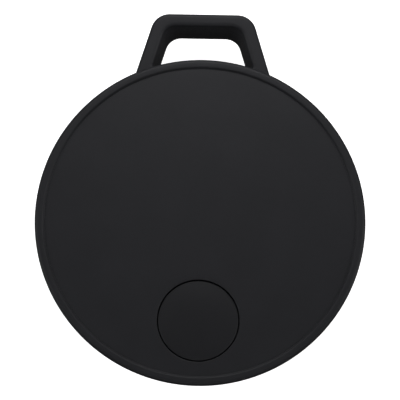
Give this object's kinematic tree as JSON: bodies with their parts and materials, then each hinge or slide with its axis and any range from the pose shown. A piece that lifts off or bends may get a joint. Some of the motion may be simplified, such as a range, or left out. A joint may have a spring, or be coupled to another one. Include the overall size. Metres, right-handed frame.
{
  "type": "bluetooth tracker tag",
  "caption": "Round key-finder tag with a keyring loop, a press button in its front plate, a coin cell behind a twist-off rear door, and a board and sounder inside.",
  "frame": {"origin": "middle of the part's outline, on the rear face it rests on; the disc's axis is 2.775 mm towards -Y", "axes": "+Z out of the front face, +Y from the disc towards the keyring loop, +X to the right seen from the front"},
  "size_m": [0.038, 0.0436, 0.0083],
  "materials": {
    "shell_plastic": "soft-touch matte black, fine moulded texture",
    "plate_plastic": "soft-touch matte black, fine moulded texture",
    "button_plastic": "soft-touch matte black, slightly smoother than the plate",
    "door_plastic": "matte black, fine moulded texture",
    "bonding_gasket": "black closed-cell bonding gasket",
    "silicone": "translucent white silicone",
    "frame_plastic": "natural moulded plastic",
    "screw_steel": "zinc-plated steel",
    "board_laminate": "glass-epoxy laminate with green solder mask",
    "chip_epoxy": "moulded epoxy package",
    "crystal_metal": "nickel-plated lid",
    "antenna_ceramic": "white ceramic with tinned ends",
    "inductor_ceramic": "blue-grey ceramic with tinned ends",
    "inductor_ferrite": "dark ferrite",
    "capacitor_ceramic": "tan ceramic with tinned ends",
    "resistor_ceramic": "black film on ceramic with tinned ends",
    "switch_plastic": "black high-temperature plastic",
    "switch_steel": "stamped stainless steel",
    "sounder_brass": "rolled brass sheet",
    "sounder_ceramic": "fired ceramic with a silvered face",
    "adhesive": "double-sided bonding ring",
    "contact_gold": "gold-plated spring bronze",
    "cell_steel": "nickel-plated steel",
    "cell_grommet": "black polypropylene grommet",
    "cell_pellet": "pressed dark oxide pellet",
    "cell_lithium": "soft grey metal disc",
    "seal_rubber": "black nitrile rubber",
    "foam": "dark closed-cell foam"
  },
  "bodies": {
    "case": {"rear_shell": "shell_plastic", "front_plate": "plate_plastic", "plate_gasket": "bonding_gasket", "inner_frame": "frame_plastic", "board_screws": "screw_steel", "circuit_board": "board_laminate", "bluetooth_chip": "chip_epoxy", "main_crystal": "crystal_metal", "clock_crystal": "crystal_metal", "chip_antenna": "antenna_ceramic", "antenna_inductors": "inductor_ceramic", "sounder_driver": "chip_epoxy", "boost_inductor": "inductor_ferrite", "bulk_capacitor": "capacitor_ceramic", "chip_capacitors": "capacitor_ceramic", "chip_resistors": "resistor_ceramic", "switch_body": "switch_plastic", "switch_dome": "switch_steel", "switch_cover": "switch_steel", "sounder_brass_disc": "sounder_brass", "sounder_ceramic_disc": "sounder_ceramic", "sounder_adhesive": "adhesive", "sounder_spring_contacts": "contact_gold", "cell_can": "cell_steel", "cell_cap": "cell_steel", "cell_grommet": "cell_grommet", "cell_cathode_pellet": "cell_pellet", "cell_lithium_disc": "cell_lithium", "positive_contact": "contact_gold", "negative_contact": "contact_gold"},
    "button": {"button_cap": "button_plastic", "button_pad": "silicone"},
    "switch": {"switch_plunger": "switch_plastic"},
    "door": {"battery_door": "door_plastic", "door_o_ring": "seal_rubber", "door_foam_pad": "foam"}
  },
  "joints": [
    {"name": "button_press", "type": "slide", "parent": "case", "child": "button", "axis": [0, 0, -1], "range_m": [0, 0.00025], "stiffness_N_per_m": 1500, "springref_m": -0.0002},
    {"name": "switch_press", "type": "slide", "parent": "case", "child": "switch", "axis": [0, 0, -1], "range_m": [0, 0.00025], "deforming": ["switch_dome"]},
    {"name": "battery_door_turn", "type": "hinge", "parent": "case", "child": "door", "pos_m": [0, -0.00278, 0.00015], "axis": [0, 0, 1], "range_deg": [0, 25]}
  ],
  "couplings": [
    {"joint": "switch_press", "follows": "button_press", "ratio": 1}
  ]
}
